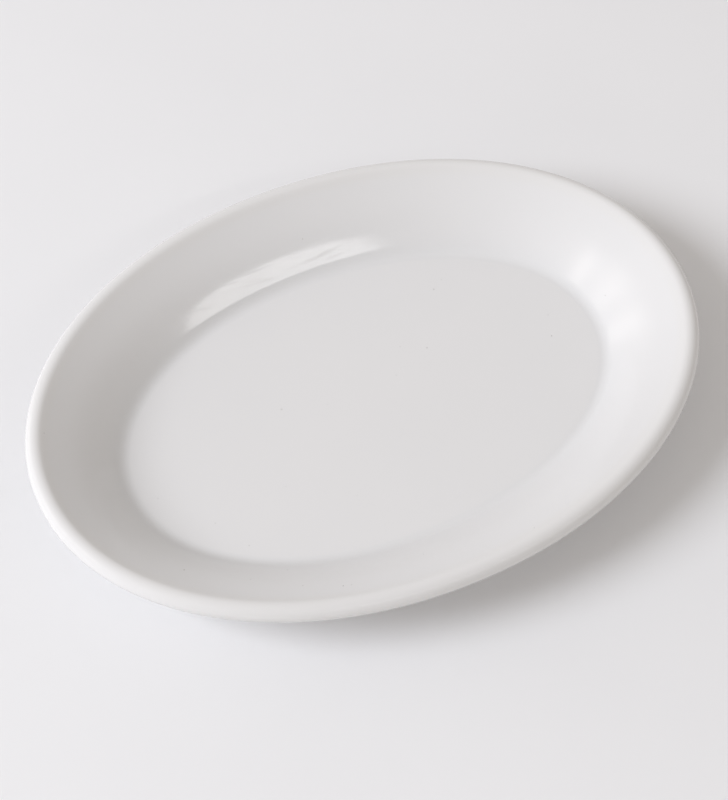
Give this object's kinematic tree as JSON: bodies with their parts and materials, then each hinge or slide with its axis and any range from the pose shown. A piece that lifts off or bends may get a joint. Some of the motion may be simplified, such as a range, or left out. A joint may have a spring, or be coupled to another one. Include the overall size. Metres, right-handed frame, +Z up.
{
  "type": "oval serving platter",
  "caption": "Oval vitreous china serving platter with a sloping rim, a thick rolled edge, a flat well and a dry foot ring.",
  "frame": {"origin": "on the standing plane, under the middle of the oval", "axes": "+X along the longer axis of the oval, +Y along the shorter axis, +Z up out of the well"},
  "size_m": [0.318, 0.235, 0.035],
  "materials": {
    "china_body": "matte, fired vitreous china, bare on the foot ring",
    "face_glaze": "glossy opaque white glaze",
    "recess_glaze": "glossy opaque white glaze"
  },
  "bodies": {
    "root": {"china_body": "china_body", "face_glaze": "face_glaze", "recess_glaze": "recess_glaze"}
  },
  "joints": []
}
